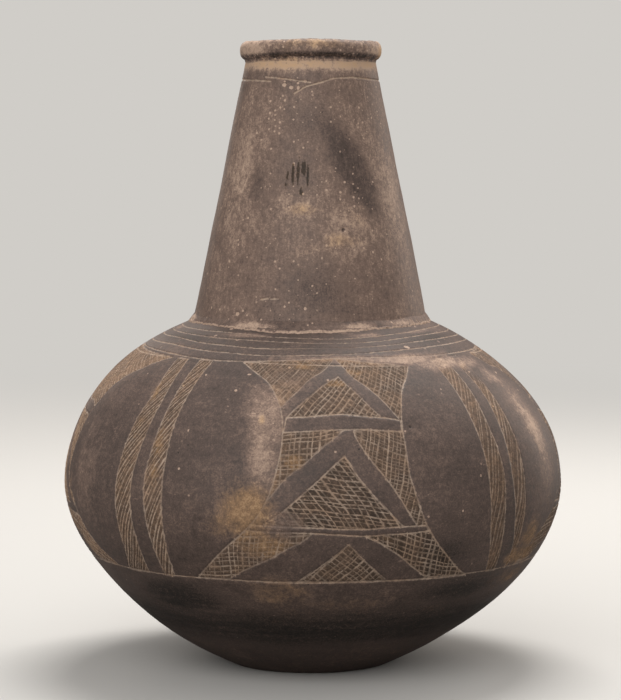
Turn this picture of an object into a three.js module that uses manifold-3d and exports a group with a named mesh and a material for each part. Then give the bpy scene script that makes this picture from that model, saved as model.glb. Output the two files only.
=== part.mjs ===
// A hand-built pottery bottle with a round body, a tall tapering neck and a rolled rim.
// It is built as a potter builds it: a clay disc for the base, coils lapped one on another for the wall,
// a neck whose foot is set through a hole in the shoulder, clay worked into that joint, and a coil for the rim.
// Units are millimetres, +Z is up, and the bottle stands on z = 0 with its axis on the Z axis.
import * as THREE from "three";
import { mergeVertices } from "three/addons/utils/BufferGeometryUtils.js";
import Module from "manifold-3d";

const wasm = await Module();
wasm.setup();

// Driving dimensions of the outside.
const bellyRadius = 83.3;
const bellyHeight = 60.5; // level of the widest girth
const footRadius = 27; // the flat that the bottle stands on
const footSlope = 24; // degrees at which the wall leaves the flat
const footReach = 40; // how far the foot's slope carries on, as a curve's handle
const bellyReach = 18; // how far the upright at the belly carries down, likewise
const shoulderHeight = 114.5; // level where the neck's outside meets the body
const neckFootRadius = 39;
const neckTopRadius = 21.5;
const neckTopHeight = 200.5;

// The clay: walls, floor and the film of slip that bonds each joint.
const bodyWall = 6.2;
const neckWall = 5.4;
const floorThickness = 6.6;
const slipGap = 0.3;

// Coils. A rope of clay is pressed to the wall's thickness, so its height follows from its section.
const ropeDiameter = 11.5;
const jointLap = 5; // how far each coil laps down over the outside of the one below
const discEdge = 13; // how far the base disc turns up, along the wall from the foot

// The neck's foot: a tenon through the shoulder, and the clay worked in round it.
const tenonInset = 2; // step that seats on the shoulder
const tenonDrop = 2.6; // how far the tenon shows below the shoulder's inside
const outerFilletHeight = 2.8;
const outerFilletWidth = 2.4;
const outerFilletBulge = 0.9;
const innerFilletWidth = 5;
const filletEdge = 0.5; // thickness at the thin edges of a fillet

// The rim coil's section is an ellipse, cut flat where it sits on the neck.
const rimOuterRadius = 23.8;
const rimInnerRadius = 15.7;
const rimHeight = 6.6;
const rimSeatCut = 0.5; // depth of the flat under the coil

// Grooves cut round the bottle before the panels are engraved.
const grooveWidth = 1.3;
const grooveDepth = 0.5;
const shoulderGrooveCount = 5;
const firstShoulderGroove = 6.6; // along the wall from the neck
const shoulderGrooveSpacing = 3.65;
const panelFootHeight = 38; // groove that closes the engraved band below
const neckGrooveDrop = 7.5; // below the neck's top

// The main carved forms between the grooves: the hatched fields at the top of each panel, its triangles, and
// the pairs of bands between panels. They lie a little lower than the plain clay left standing round them.
// Outlines are in degrees round the bottle, 0 at the front, and heights.
const carvedDepth = 0.4;
const panelTurns = [0, 88, 178, -94];
const panelFields = [
  [[-20, 103.6], [-11.5, 99], [-7.5, 92], [0.5, 100], [6.5, 103.6]],
  [[11, 103.6], [16, 98], [22, 88.5], [24.5, 95.5], [31.5, 103.6]],
  [[8.7, 101], [1, 96.3], [-6, 89.4], [5, 90.1], [17.2, 89.3]],
  [[7, 78], [-3, 65.5], [-10.5, 57], [19.7, 56]],
  [[7.8, 50.6], [-3.5, 39], [17, 39]],
];
// The pairs of bands between the panels: both edges of each band, at these heights.
const bandTurns = [0, 180];
const bandHeights = [39, 72, 103.6];
const bandEdges = [
  [[-51.8, -49, -47], [-44.4, -44, -42]],
  [[-39, -40, -37], [-36, -35, -32]],
  [[46.6, 42.5, 43.5], [50.3, 47.3, 49.5]],
  [[51.8, 50.3, 53], [55.8, 55, 57.5]],
];
// The cutters reach from inside the wall to outside it.
const cutterInner = 45;
const cutterOuter = 100;
const cutterMargin = 3;

// The neck is narrower than the body, so it is as round with fewer sides.
const bodySegments = 48;
const neckSegments = 32;
const outerStepsPerCoil = 2;
const innerStepsPerCoil = 2;
const rimSteps = 10;

// Above the belly the wall is an ellipse, whose height follows from the neck's foot.
const upperRise = (shoulderHeight - bellyHeight) / Math.sqrt(1 - (neckFootRadius / bellyRadius) ** 2);
const tenonRadius = neckFootRadius - tenonInset;
const holeRadius = tenonRadius + slipGap;

function bodyFace() {
  const foot = new THREE.Vector2(footRadius, 0);
  const belly = new THREE.Vector2(bellyRadius, bellyHeight);
  const slope = THREE.MathUtils.degToRad(footSlope);
  const footHandle = new THREE.Vector2(Math.cos(slope), Math.sin(slope)).multiplyScalar(footReach).add(foot);
  const bellyHandle = new THREE.Vector2(bellyRadius, bellyHeight - bellyReach);
  const face = new THREE.CurvePath();
  face.add(new THREE.CubicBezierCurve(foot, footHandle, bellyHandle, belly));
  // The curve runs on past the hole's edge, so that what passes through the hole can be found on it.
  const endAngle = Math.acos((tenonRadius - 2 * slipGap) / bellyRadius);
  face.add(new THREE.EllipseCurve(0, bellyHeight, bellyRadius, upperRise, 0, endAngle));
  return face;
}

function neckFace() {
  // The line runs on past the neck's top, so that the inside of a level edge can be found on it.
  const foot = new THREE.Vector2(neckFootRadius, shoulderHeight);
  const top = new THREE.Vector2(neckTopRadius, neckTopHeight);
  const face = new THREE.CurvePath();
  face.add(new THREE.LineCurve(foot, foot.clone().lerp(top, 1.1)));
  return face;
}

// A point of a wall: arc millimetres along its outer face, and depth millimetres in from it.
function wallPoint(face, arc, depth) {
  const share = arc / face.getLength();
  const along = face.getTangent(share);
  const point = face.getPoint(share);
  return new THREE.Vector2(point.x - depth * along.y, point.y + depth * along.x);
}

// The arc at which a wall, at that depth, crosses a value. measure rises or falls steadily from start to end.
function arcWhere(face, depth, measure, value, start, end) {
  const rises = measure(wallPoint(face, end, depth)) > measure(wallPoint(face, start, depth));
  let low = start;
  let high = end;
  for (let i = 0; i < 40; i++) {
    const middle = (low + high) / 2;
    const past = measure(wallPoint(face, middle, depth)) > value;
    if (past === rises) high = middle;
    else low = middle;
  }
  return (low + high) / 2;
}

const radiusOf = (point) => point.x;
const heightOf = (point) => point.y;

// How deep the V-shaped grooves cut into the outer face at an arc.
function grooveAt(grooves, arc) {
  const depths = grooves.map((g) => grooveDepth * (1 - Math.abs(arc - g) / (grooveWidth / 2)));
  return Math.max(0, ...depths);
}

// Arcs from one end of a coil's outer face to the other, with the grooves' edges and bottoms among them.
// A step near the widest girth moves onto it, so that the bottle keeps its full width.
function outerArcs(from, to, grooves, steps, widest) {
  const even = Array.from({ length: steps + 1 }, (_, i) => {
    const arc = from + ((to - from) * i) / steps;
    const isNear = i > 0 && i < steps && Math.abs(arc - widest) < (to - from) / (2 * steps);
    return isNear ? widest : arc;
  });
  const clear = even.filter((arc, i) => i === 0 || i === steps || grooveAt(grooves, arc) === 0);
  const cut = grooves.flatMap((g) => [g - grooveWidth / 2, g, g + grooveWidth / 2]);
  const inside = cut.filter((arc) => arc > from && arc < to);
  return [...clear, ...inside].sort((a, b) => a - b);
}

// The section of a coil. Each end is a pair of arcs, on the outer and on the inner face.
function coilSection(face, wall, bottom, top, grooves, outerSteps, innerSteps, widest) {
  const outer = outerArcs(bottom.outer, top.outer, grooves, outerSteps, widest);
  const section = outer.map((arc) => wallPoint(face, arc, grooveAt(grooves, arc)));
  for (let i = 0; i <= innerSteps; i++) {
    const arc = top.inner + ((bottom.inner - top.inner) * i) / innerSteps;
    section.push(wallPoint(face, arc, wall));
  }
  return section;
}

// A lapped joint at an arc: the outside lies lower than the inside, and half the slip is on each side of it.
function lapEnd(arc, wall, side) {
  const slip = (side * slipGap * Math.hypot(wall, jointLap)) / (2 * wall);
  return { outer: arc - jointLap / 2 + slip, inner: arc + jointLap / 2 + slip };
}

function lathe(section, segments) {
  const first = section[0];
  const last = section[section.length - 1];
  const onAxis = first.x === 0 && last.x === 0;
  const geometry = new THREE.LatheGeometry(onAxis ? section : [...section, first.clone()], segments);
  return geometry.rotateX(Math.PI / 2);
}

function clay(name, geometry, color) {
  const material = new THREE.MeshStandardMaterial({ color, roughness: 0.55, metalness: 0 });
  const mesh = new THREE.Mesh(geometry, material);
  mesh.name = name;
  return mesh;
}

const turned = (name, section, segments, color) => clay(name, lathe(section, segments), color);

function toSolid(geometry) {
  const bare = geometry.clone();
  bare.deleteAttribute("normal");
  bare.deleteAttribute("uv");
  const merged = mergeVertices(bare);
  const vertProperties = new Float32Array(merged.attributes.position.array);
  const triVerts = new Uint32Array(merged.index.array);
  return new wasm.Manifold(new wasm.Mesh({ numProp: 3, vertProperties, triVerts }));
}

function toGeometry(solid) {
  const mesh = solid.getMesh();
  const geometry = new THREE.BufferGeometry();
  geometry.setAttribute("position", new THREE.BufferAttribute(mesh.vertProperties, mesh.numProp));
  geometry.setIndex(new THREE.BufferAttribute(mesh.triVerts, 1));
  geometry.computeVertexNormals();
  return geometry;
}

const smudgedClay = 0x544b47;
const wornClay = 0x8a7363;
const insideClay = 0x3d3733;

const bodyWallFace = bodyFace();
const neckWallFace = neckFace();
const ropeArea = (Math.PI / 4) * ropeDiameter ** 2;

const bodyLength = bodyWallFace.getLength();
const bellyArc = arcWhere(bodyWallFace, 0, heightOf, bellyHeight, 0, bodyLength);
const neckArc = arcWhere(bodyWallFace, 0, radiusOf, neckFootRadius, bellyArc, bodyLength);
const holeArc = arcWhere(bodyWallFace, 0, radiusOf, holeRadius, bellyArc, bodyLength);
const holeInnerArc = arcWhere(bodyWallFace, bodyWall, radiusOf, holeRadius, bellyArc, bodyLength);
const bodyCoilCount = Math.max(2, Math.round((holeArc - discEdge) / (ropeArea / bodyWall)));
const bodyCoilHeight = (holeArc - discEdge) / bodyCoilCount;

const neckLength = Math.hypot(neckFootRadius - neckTopRadius, neckTopHeight - shoulderHeight);
const neckCoilCount = Math.max(2, Math.round(neckLength / (ropeArea / neckWall)));
const neckCoilHeight = neckLength / neckCoilCount;

const bodyGrooves = Array.from(
  { length: shoulderGrooveCount },
  (_, i) => neckArc - firstShoulderGroove - i * shoulderGrooveSpacing,
);
bodyGrooves.push(arcWhere(bodyWallFace, 0, heightOf, panelFootHeight, 0, bellyArc));
const neckGrooves = [neckLength - neckGrooveDrop];

// A wedge with an outline in degrees and heights, which reaches right through the wall.
function wedge(outline, turn) {
  const contour = outline.map(([angle, height]) => new THREE.Vector2(THREE.MathUtils.degToRad(angle + turn), height));
  if (THREE.ShapeUtils.isClockWise(contour)) contour.reverse();
  const count = contour.length;
  const positions = [cutterOuter, cutterInner].flatMap((radius) =>
    contour.flatMap(({ x, y }) => [radius * Math.sin(x), -radius * Math.cos(x), y]),
  );
  const caps = THREE.ShapeUtils.triangulateShape(contour, []);
  const index = caps.flatMap(([a, b, c]) => [a, b, c, c + count, b + count, a + count]);
  for (let i = 0; i < count; i++) {
    const next = (i + 1) % count;
    index.push(i, i + count, next + count, i, next + count, next);
  }
  const geometry = new THREE.BufferGeometry();
  geometry.setAttribute("position", new THREE.Float32BufferAttribute(positions, 3));
  return toSolid(geometry.setIndex(index));
}

function carvedWedges() {
  const panels = panelTurns.flatMap((turn) => panelFields.map((field) => wedge(field, turn)));
  const bands = bandTurns.flatMap((turn) =>
    bandEdges.map(([left, right]) => {
      const up = bandHeights.map((height, i) => [left[i], height]);
      const down = bandHeights.map((height, i) => [right[i], height]).reverse();
      return wedge([...up, ...down], turn);
    }),
  );
  return [...panels, ...bands].reduce((sum, next) => sum.add(next));
}

// Sinks the carved fields into a coil. What is cut away is a skin of even depth over the coil's outer face.
function carved(name, section, arcs, wedges, color) {
  const ends = [arcs[0] - cutterMargin, Math.min(arcs[arcs.length - 1] + cutterMargin, bodyLength)];
  const floor = [ends[0], ...arcs, ends[1]].reverse().map((arc) => wallPoint(bodyWallFace, arc, carvedDepth));
  const skin = lathe([...ends.map((arc) => wallPoint(bodyWallFace, arc, -cutterMargin)), ...floor], bodySegments);
  const cut = toSolid(skin).intersect(wedges);
  if (cut.isEmpty()) return turned(name, section, bodySegments, color);
  return clay(name, toGeometry(toSolid(lathe(section, bodySegments)).subtract(cut)), color);
}

function baseDisc() {
  const edge = lapEnd(discEdge, bodyWall, -1);
  const section = [new THREE.Vector2(0, 0), new THREE.Vector2(footRadius, 0)];
  for (const share of [0.5, 1]) section.push(wallPoint(bodyWallFace, edge.outer * share, 0));
  for (const share of [1, 0.5, 0]) section.push(wallPoint(bodyWallFace, edge.inner * share, bodyWall));
  section.push(new THREE.Vector2(0, floorThickness));
  return turned("base_disc", section, bodySegments, smudgedClay);
}

function bodyCoils() {
  const wedges = carvedWedges();
  const hole = { outer: holeArc, inner: holeInnerArc };
  return Array.from({ length: bodyCoilCount }, (_, i) => {
    const bottom = lapEnd(discEdge + i * bodyCoilHeight, bodyWall, 1);
    const isTop = i === bodyCoilCount - 1;
    const top = isTop ? hole : lapEnd(discEdge + (i + 1) * bodyCoilHeight, bodyWall, -1);
    const section = coilSection(
      bodyWallFace, bodyWall, bottom, top, bodyGrooves, outerStepsPerCoil, innerStepsPerCoil, bellyArc,
    );
    const arcs = outerArcs(bottom.outer, top.outer, [], outerStepsPerCoil, bellyArc);
    return carved(isTop ? "shoulder_coil" : `body_coil_${i + 1}`, section, arcs, wedges, smudgedClay);
  });
}

// The tenon ends below the shoulder's inside, where the inner fillet is pressed against both.
const tenonFoot = wallPoint(bodyWallFace, holeInnerArc, bodyWall).y - tenonDrop;

function neckFoot() {
  const top = lapEnd(neckCoilHeight, neckWall, -1);
  const tenonArc = arcWhere(bodyWallFace, -slipGap, radiusOf, tenonRadius, neckArc - slipGap, bodyLength);
  const innerRadius = wallPoint(neckWallFace, 0, neckWall).x;
  const section = [
    new THREE.Vector2(innerRadius, tenonFoot),
    new THREE.Vector2(tenonRadius, tenonFoot),
    wallPoint(bodyWallFace, tenonArc, -slipGap),
    wallPoint(bodyWallFace, neckArc, -slipGap),
    wallPoint(neckWallFace, top.outer, 0),
    wallPoint(neckWallFace, top.inner, neckWall),
    wallPoint(neckWallFace, 0, neckWall),
  ];
  return turned("neck_foot", section, neckSegments, smudgedClay);
}

function neckCoils() {
  const level = {
    outer: neckLength,
    inner: arcWhere(neckWallFace, neckWall, heightOf, neckTopHeight, 0, neckWallFace.getLength()),
  };
  return Array.from({ length: neckCoilCount - 1 }, (_, i) => {
    const bottom = lapEnd((i + 1) * neckCoilHeight, neckWall, 1);
    const isTop = i === neckCoilCount - 2;
    const top = isTop ? level : lapEnd((i + 2) * neckCoilHeight, neckWall, -1);
    const section = coilSection(neckWallFace, neckWall, bottom, top, neckGrooves, 1, 1);
    return turned(`neck_coil_${i + 2}`, section, neckSegments, smudgedClay);
  });
}

// Clay pressed into the corner outside the joint. It stands a little proud, as a ridge round the neck.
function outerFillet() {
  const onNeck = wallPoint(neckWallFace, outerFilletHeight, -slipGap);
  const onNeckEdge = wallPoint(neckWallFace, outerFilletHeight, -slipGap - filletEdge);
  const onShoulder = wallPoint(bodyWallFace, neckArc - outerFilletWidth, -slipGap);
  const onShoulderEdge = wallPoint(bodyWallFace, neckArc - outerFilletWidth, -slipGap - filletEdge);
  const ridge = onNeckEdge.clone().lerp(onShoulderEdge, 0.5);
  ridge.add(new THREE.Vector2(outerFilletBulge, outerFilletBulge).multiplyScalar(Math.SQRT1_2));
  const shoulderNear = wallPoint(bodyWallFace, neckArc - 2 * slipGap, -2 * slipGap);
  const corner = new THREE.Vector2(neckFootRadius + slipGap, shoulderNear.y);
  return turned(
    "neck_joint_outer_fillet",
    [onShoulder, onShoulderEdge, ridge, onNeckEdge, onNeck, corner],
    neckSegments,
    wornClay,
  );
}

// Clay smeared round the tenon on the inside of the shoulder.
function innerFillet() {
  const depth = bodyWall + slipGap;
  const near = tenonRadius + slipGap;
  const nearArc = arcWhere(bodyWallFace, depth, radiusOf, near, bellyArc, bodyLength);
  const farArc = arcWhere(bodyWallFace, depth, radiusOf, near + innerFilletWidth, bellyArc, bodyLength);
  const section = [
    new THREE.Vector2(near, tenonFoot),
    new THREE.Vector2(near + filletEdge, tenonFoot),
    wallPoint(bodyWallFace, farArc, depth + filletEdge),
    wallPoint(bodyWallFace, farArc, depth),
    wallPoint(bodyWallFace, nearArc, depth),
  ];
  return turned("neck_joint_inner_fillet", section, neckSegments, insideClay);
}

function rimCoil() {
  const middle = (rimOuterRadius + rimInnerRadius) / 2;
  const halfWidth = (rimOuterRadius - rimInnerRadius) / 2;
  const halfHeight = (rimHeight + rimSeatCut) / 2;
  const centreHeight = neckTopHeight + slipGap + halfHeight - rimSeatCut;
  const cutAngle = Math.acos((halfHeight - rimSeatCut) / halfHeight);
  const section = Array.from({ length: rimSteps + 1 }, (_, i) => {
    const angle = -Math.PI / 2 + cutAngle + ((2 * Math.PI - 2 * cutAngle) * i) / rimSteps;
    return new THREE.Vector2(middle + halfWidth * Math.cos(angle), centreHeight + halfHeight * Math.sin(angle));
  });
  return turned("rim_coil", section, neckSegments, wornClay);
}

const bottle = new THREE.Group();
bottle.add(baseDisc(), ...bodyCoils(), neckFoot(), ...neckCoils(), outerFillet(), innerFillet(), rimCoil());

export default bottle;
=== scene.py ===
import math
import random

import bpy
import numpy as np
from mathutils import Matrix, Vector


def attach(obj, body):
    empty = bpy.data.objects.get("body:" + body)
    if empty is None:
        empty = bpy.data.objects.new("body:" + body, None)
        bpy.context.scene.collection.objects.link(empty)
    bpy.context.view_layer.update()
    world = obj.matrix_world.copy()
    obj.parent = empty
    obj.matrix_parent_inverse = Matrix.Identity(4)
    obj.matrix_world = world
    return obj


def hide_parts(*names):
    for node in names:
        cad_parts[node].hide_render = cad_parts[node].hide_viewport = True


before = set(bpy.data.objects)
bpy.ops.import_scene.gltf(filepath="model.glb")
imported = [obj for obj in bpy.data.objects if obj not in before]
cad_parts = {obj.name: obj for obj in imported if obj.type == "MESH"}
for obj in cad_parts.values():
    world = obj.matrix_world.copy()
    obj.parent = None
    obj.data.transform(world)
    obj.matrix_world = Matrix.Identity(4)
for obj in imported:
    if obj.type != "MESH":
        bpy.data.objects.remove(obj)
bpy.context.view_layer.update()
mm = 0.001

view = {
    "eye": (-0.7, -1000.0, 190.0),  # the photograph looks a little down on the body, and level at the rim
    "aim": (-0.7, 0.0, 104.0),
    "pixelsPerMm": 3.0,  # at the bottle's axis
    "frameHeight": 700,  # pixels of the photograph
    "sensor": 36.0,
}


def addObject(name, data):
    thing = bpy.data.objects.new(name, data)
    bpy.context.scene.collection.objects.link(thing)
    return thing


def aimed(thing, place, target):
    # A camera or lamp, put in its place and turned to its target, both in millimetres.
    thing.location = Vector(place) * mm
    thing.rotation_euler = (Vector(target) - Vector(place)).to_track_quat("-Z", "Y").to_euler()
    return thing


def makeCamera():
    eye, aim = Vector(view["eye"]), Vector(view["aim"])
    data = bpy.data.cameras.new("photoCamera")
    data.sensor_width = view["sensor"]
    data.lens = view["pixelsPerMm"] * (aim - eye).length * view["sensor"] / view["frameHeight"]
    data.clip_end = 20
    bpy.context.scene.camera = aimed(addObject("photoCamera", data), eye, aim)


makeCamera()
print("camera placed")


class Wire:
    # A socket's value, on which sums are written as in Python.
    def __init__(self, socket):
        self.socket = socket

    def combine(self, operation, *terms):
        return addNode(self.socket.id_data, "ShaderNodeMath", {"operation": operation}, dict(enumerate(terms))).first()

    def maths(self, operation, *others):
        return self.combine(operation, self, *others)

    def __add__(self, other):
        return self.maths("ADD", other)

    def __sub__(self, other):
        return self.maths("SUBTRACT", other)

    def __mul__(self, other):
        return self.maths("MULTIPLY", other)

    def __rsub__(self, other):
        return self.combine("SUBTRACT", other, self)

    def __rtruediv__(self, other):
        return self.combine("DIVIDE", other, self)

    def most(self, other):
        return self.maths("MAXIMUM", other)

    def least(self, other):
        return self.maths("MINIMUM", other)

    def rise(self, low, high):
        values = {"Value": self, "From Min": low, "From Max": high}
        return addNode(self.socket.id_data, "ShaderNodeMapRange", {"interpolation_type": "SMOOTHSTEP"}, values).first()


class Built:
    # A node just added, whose outputs are taken as wires.
    def __init__(self, node):
        self.node = node

    def first(self):
        return Wire(next(s for s in self.node.outputs if s.enabled))

    def out(self, name):
        return Wire(next(s for s in self.node.outputs if s.name == name and s.enabled))


def addNode(tree, kind, settings=None, values=None):
    node = tree.nodes.new(kind)
    for name, value in (settings or {}).items():
        if name == "stops":
            ramp = node.color_ramp
            while len(ramp.elements) < len(value):
                ramp.elements.new(0.5)
            for element, (place, color) in zip(ramp.elements, value):
                element.position, element.color = place, paint(color)
        else:
            setattr(node, name, value)
    for name, value in (values or {}).items():
        if isinstance(name, str):
            socket = next(s for s in node.inputs if s.name == name and s.enabled)
        else:
            socket = node.inputs[name]
        if isinstance(value, Wire):
            tree.links.new(value.socket, socket)
        else:
            socket.default_value = value
    return Built(node)


def mixColors(tree, share, a, b):
    return addNode(tree, "ShaderNodeMix", {"data_type": "RGBA"}, {"Factor": share, "A": a, "B": b}).first()


def newMaterial(name):
    material = bpy.data.materials.new(name)
    material.use_nodes = True
    material.node_tree.nodes.clear()
    return material, material.node_tree


def paint(rgb, share=1):
    # A colour written as 0 to 255, as it looks, to the renderer's own scale.
    linear = (v / 12.92 if v <= 0.04045 else ((v + 0.055) / 1.055) ** 2.4 for v in (c / 255 for c in rgb))
    return (*(share * v for v in linear), 1)


# The driving sizes of the solids, in millimetres. Their belly is 0.3 mm fuller, since fields are sunk where it is
# widest.
form = {
    "bellyRadius": 83, "bellyHeight": 60.5,
    "footRadius": 27, "footSlope": 24, "footReach": 40, "bellyReach": 18,
    "shoulderHeight": 114.5, "neckFootRadius": 39,
    "neckTopRadius": 21.5, "neckTopHeight": 200.5,
    "bodyWall": 6.2, "neckWall": 5.4, "floorThickness": 6.6, "slip": 0.3,
    "ropeDiameter": 11.5, "jointLap": 5, "discEdge": 13,
    "tenonInset": 2, "tenonDrop": 2.6,
}

# How far each level leans sideways: heights and millimetres.
lean = ((0, -1.0), (13, -0.7), (20, 0.2), (34, 0.6), (45, 0.2), (62, 0.0), (78, 0.2),
        (90, -0.5), (97, -1.2), (104, -1.6), (110, -1.4), (115, -0.9), (125, -0.7), (210, -0.7))


def leanAt(z):
    # Smoothed, so that no level shows a kink.
    heights, leans = zip(*lean)
    return np.mean([np.interp(z + shift, heights, leans) for shift in np.linspace(-5, 5, 9)], axis=0)


def makeWall(points):
    r, z = np.array(points).T
    arc = np.concatenate(([0], np.cumsum(np.hypot(np.diff(r), np.diff(z)))))
    along = np.stack((np.gradient(r, arc), np.gradient(z, arc)))
    along /= np.hypot(*along)
    return {"arc": arc, "r": r, "z": z, "outR": along[1], "outZ": -along[0]}


def wallAt(wall, arc, depth=0.0):
    r, z, outR, outZ = (np.interp(arc, wall["arc"], wall[key]) for key in ("r", "z", "outR", "outZ"))
    return r - depth * outR, z - depth * outZ


def bodyPoints():
    f = form
    slope = math.radians(f["footSlope"])
    foot = np.array((f["footRadius"], 0.0))
    handles = (
        foot,
        foot + f["footReach"] * np.array((math.cos(slope), math.sin(slope))),
        np.array((f["bellyRadius"], f["bellyHeight"] - f["bellyReach"])),
        np.array((f["bellyRadius"], f["bellyHeight"])),
    )
    t = np.linspace(0, 1, 1500)[:, None]
    weights = ((1 - t) ** 3, 3 * (1 - t) ** 2 * t, 3 * (1 - t) * t**2, t**3)
    lower = sum(w * h for w, h in zip(weights, handles))
    rise = (f["shoulderHeight"] - f["bellyHeight"]) / math.sqrt(1 - (f["neckFootRadius"] / f["bellyRadius"]) ** 2)
    end = math.acos((f["neckFootRadius"] - 3) / f["bellyRadius"])
    a = np.linspace(0, end, 1500)[1:]
    upper = np.stack((f["bellyRadius"] * np.cos(a), f["bellyHeight"] + rise * np.sin(a)), 1)
    return np.vstack((lower, upper))


bodyWall = makeWall(bodyPoints())
neckWall = makeWall(np.linspace((form["neckFootRadius"], form["shoulderHeight"]),
                                (form["neckTopRadius"], form["neckTopHeight"]), 200))
bellyArc = float(np.interp(form["bellyHeight"], bodyWall["z"], bodyWall["arc"]))
fromFoot = bodyWall["arc"] > bellyArc


def arcAtRadius(radius):
    # On the upper half of the body.
    return float(np.interp(-radius, -bodyWall["r"][fromFoot], bodyWall["arc"][fromFoot]))


def arcAtHeight(z):
    return np.interp(z, bodyWall["z"], bodyWall["arc"])


tenonRadius = form["neckFootRadius"] - form["tenonInset"]
holeArc = arcAtRadius(tenonRadius + form["slip"])
neckArc = arcAtRadius(form["neckFootRadius"])
ropeArea = math.pi / 4 * form["ropeDiameter"] ** 2
bodyCoilCount = round((holeArc - form["discEdge"]) / (ropeArea / form["bodyWall"]))
bodyCoilHeight = (holeArc - form["discEdge"]) / bodyCoilCount
neckLength = float(neckWall["arc"][-1])
neckCoilCount = round(neckLength / (ropeArea / form["neckWall"]))
neckCoilHeight = neckLength / neckCoilCount
print("coils in the body", bodyCoilCount, "and in the neck", neckCoilCount)

# Places on the bottle are an angle round it in degrees, 0 at the front and rising to the right, and a height in
# millimetres.
# Each ring of the shoulder climbs and falls as it goes round: angles and heights, the lowest ring first.
rings = {
    "shoulder": (
        ((-90, 106.7), (-55, 106.2), (-40, 105.5), (-21, 104.8), (-3, 105.9), (14, 106.4), (47, 105.9), (90, 105.6),
         (180, 106.1)),
        ((-90, 108.4), (-54, 108.4), (-35, 107.3), (-12, 106.8), (8, 107.3), (43, 108.0), (69, 108.5), (95, 107.7),
         (180, 107.9)),
        ((-90, 110.2), (-64, 110.4), (-41, 109.5), (-8, 108.8), (20, 109.1), (41, 109.8), (68, 110.2), (95, 109.4),
         (180, 109.6)),
        ((-90, 112.0), (-63, 111.6), (-38, 111.3), (-18, 110.8), (8, 110.3), (34, 110.9), (60, 111.6), (95, 111.0),
         (180, 111.2)),
        ((-90, 113.2), (-65, 113.0), (-32, 112.8), (-13, 111.8), (8, 111.6), (35, 112.2), (64, 113.0), (95, 112.6),
         (180, 112.8)),
    ),
    "foot": 37.8,
    "wander": 0.17,  # how far a ring strays from that line
    "reach": 1.8,  # the numbers run on this far beside the lowest and highest ring
}
panel = {
    "leftSide": ((-21, 105), (-15.5, 102), (-11.5, 99.5), (-9, 96), (-7.5, 92), (-7, 88), (-7, 82), (-8, 74),
                 (-9.5, 66), (-12, 59.5), (-15.5, 54), (-20.5, 48), (-25, 42.5), (-29, 38)),
    "rightSide": ((32.5, 103.5), (29, 100), (26, 97), (23.5, 92), (22, 86.5), (21.5, 80), (21.5, 73), (22.5, 67),
                  (24.5, 58.5), (27, 52.5), (30.5, 47), (36, 40.5), (40, 37.5)),
    "firstOuterLeft": ((8.7, 106.2), (4.5, 102.7), (0.5, 100.5), (-2.5, 97.5), (-5.5, 94.5), (-7.5, 92)),
    "firstOuterRight": ((8.7, 106.2), (11.5, 102.9), (13, 100.8), (16, 98), (19, 94), (21, 90), (22, 88)),
    "firstInnerLeft": ((8.7, 101), (5.5, 99.5), (2, 97), (-1.5, 94), (-4.5, 91), (-6, 89.4)),
    "firstInnerRight": ((8.7, 101), (10.3, 99), (12.4, 96.5), (15, 92.5), (17.2, 89.3)),
    "firstBarTop": ((-6, 89.4), (-2.5, 89.5), (3, 90), (8, 90.3), (13, 89.6), (19, 88.8), (22, 88)),
    "firstBarFoot": ((-6.8, 85), (-0.5, 85.4), (6.5, 85.8), (12.5, 85.7), (21.5, 84.8)),
    "secondOuterLeft": ((7.2, 85.6), (5, 83.3), (1.5, 80), (-1.2, 76.6), (-4, 73.6), (-6.5, 70.5), (-9.2, 65.5)),
    "secondOuterRight": ((9.8, 85.4), (10.3, 82.7), (12.8, 77), (16.6, 70), (19, 65), (20.7, 61), (23.2, 55.6)),
    "secondInnerLeft": ((7, 78), (4.4, 75), (1.5, 71.2), (-1.5, 67.4), (-5, 62.9), (-7.5, 60), (-10.5, 57.2)),
    "secondInnerRight": ((7, 78), (9.5, 72.3), (12.3, 67.4), (14.7, 63.3), (18, 58.4), (19.7, 56)),
    "secondBarTop": ((-13.5, 56.8), (-7, 56.5), (-0.3, 56.1), (7.7, 55.5), (12.5, 55.4), (16.5, 55.7), (25.2, 55.8)),
    "secondBarFoot": ((-14, 54.8), (-7, 54.6), (-0.5, 54.3), (7.7, 53.5), (11.5, 53.1), (16.5, 53.4), (21.5, 53.5),
                      (26, 54)),
    "thirdOuterLeft": ((-0.3, 54), (-3, 51), (-5.5, 49.3), (-9.7, 45.8), (-14, 43), (-17.5, 40.7), (-20.5, 38.4)),
    "thirdOuterRight": ((11.5, 53), (14, 51.5), (16, 49.6), (20, 46), (23.3, 42.3), (27.5, 38.4)),
    "thirdInnerLeft": ((7.8, 50.6), (5, 47), (2, 43.7), (-1.5, 40), (-4, 38)),
    "thirdInnerRight": ((7.8, 50.6), (11.2, 45.5), (14.2, 41.6), (17.5, 38)),
}
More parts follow.
